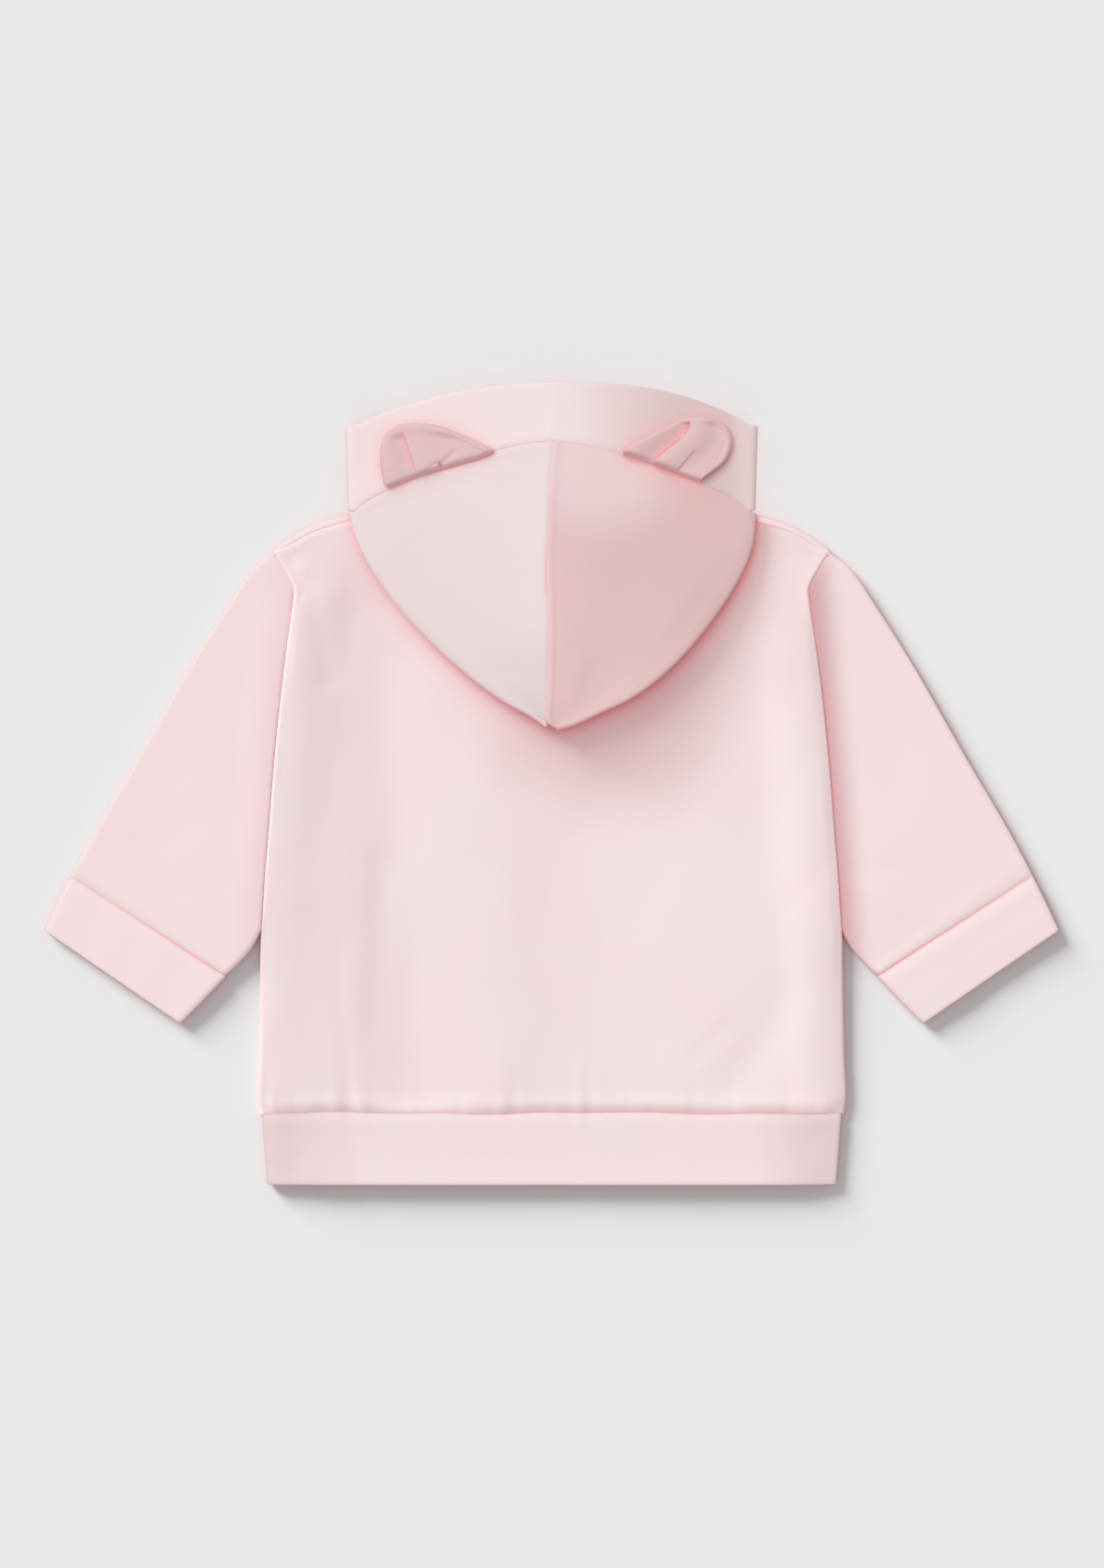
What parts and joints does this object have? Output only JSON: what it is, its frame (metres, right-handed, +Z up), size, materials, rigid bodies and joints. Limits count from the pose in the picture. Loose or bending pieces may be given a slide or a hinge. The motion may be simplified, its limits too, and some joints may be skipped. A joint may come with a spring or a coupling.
{
  "type": "toddler hoodie",
  "caption": "Pale pink toddler's hooded sweatshirt with round ears on the hood, laid face down and flat with its hood turned down over the back.",
  "frame": {"origin": "under the middle of the garment's outline, on the surface it lies on", "axes": "+X across the garment from cuff to cuff, +Y from the hem to the hood's face edge, +Z up from the surface"},
  "size_m": [0.506, 0.4005, 0.028],
  "materials": {
    "fleece": "soft matt cotton sweatshirt cloth, pale pink",
    "banding": "the same pale pink cloth, folded double"
  },
  "bodies": {
    "root": {"back_panel": "fleece", "front_panel": "fleece", "sleeve_right": "fleece", "sleeve_left": "fleece", "cuff_right": "banding", "cuff_left": "banding", "hem_band": "banding", "hood_panel_left": "fleece", "hood_panel_right": "fleece", "hood_band": "banding", "ear_left_lower": "fleece", "ear_left_upper": "fleece", "ear_right_lower": "fleece", "ear_right_upper": "fleece"}
  },
  "joints": []
}
